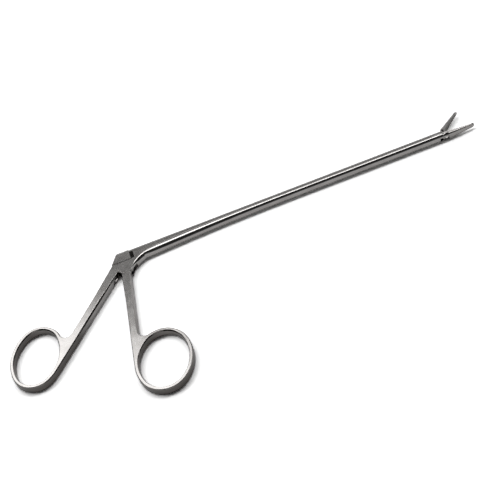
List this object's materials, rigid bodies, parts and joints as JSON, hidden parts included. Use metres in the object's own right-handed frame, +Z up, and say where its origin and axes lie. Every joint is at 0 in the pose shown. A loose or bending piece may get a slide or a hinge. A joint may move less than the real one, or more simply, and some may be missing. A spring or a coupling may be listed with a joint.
{
  "type": "ent grasping forceps",
  "caption": "Long slender grasping forceps with ring handles, a box joint, a bar sliding along the shaft and a serrated jaw that opens as the rings are spread.",
  "frame": {"origin": "on the axis of the handle pivot, in the plane that the instrument lies on", "axes": "+X along the shaft towards the jaw tips, +Y in the plane of the instrument away from the rings, +Z up out of the plane it lies on, through the thickness"},
  "size_m": [0.2451, 0.0915, 0.005],
  "materials": {
    "frame_steel": "satin stainless steel with fine lengthwise brushing, rounded edges brighter",
    "handle_steel": "satin stainless steel with fine lengthwise brushing, rounded edges brighter",
    "slide_steel": "satin stainless steel with fine lengthwise brushing",
    "jaw_steel": "satin stainless steel, teeth cut bright",
    "screw_steel": "ground flush and polished",
    "pin_steel": "ground and polished"
  },
  "bodies": {
    "frame": {"thumb_handle_frame": "frame_steel", "handle_pivot_screw": "screw_steel", "jaw_pivot_pin": "pin_steel", "rear_guide_stud": "pin_steel", "front_guide_stud": "pin_steel"},
    "finger_lever": {"finger_handle": "handle_steel"},
    "slide": {"slide_bar": "slide_steel", "drive_pin": "pin_steel", "jaw_drive_pin": "pin_steel"},
    "jaw": {"upper_jaw": "jaw_steel"}
  },
  "joints": [
    {"name": "handle_squeeze", "type": "hinge", "parent": "frame", "child": "finger_lever", "pos_m": [0, 0, 0.0025], "axis": [0, 0, -1], "range_deg": [0, 16.57]},
    {"name": "bar_slide", "type": "slide", "parent": "frame", "child": "slide", "axis": [1, 0, 0], "range_m": [0, 0.00146]},
    {"name": "jaw_close", "type": "hinge", "parent": "frame", "child": "jaw", "pos_m": [0.1638, 0.0058, 0.0025], "axis": [0, 0, -1], "range_deg": [0, 40]}
  ],
  "couplings": [
    {"joint": "bar_slide", "follows": "handle_squeeze", "m_per_rad": 0.0050351},
    {"joint": "jaw_close", "follows": "handle_squeeze", "ratio": 2.4145}
  ]
}
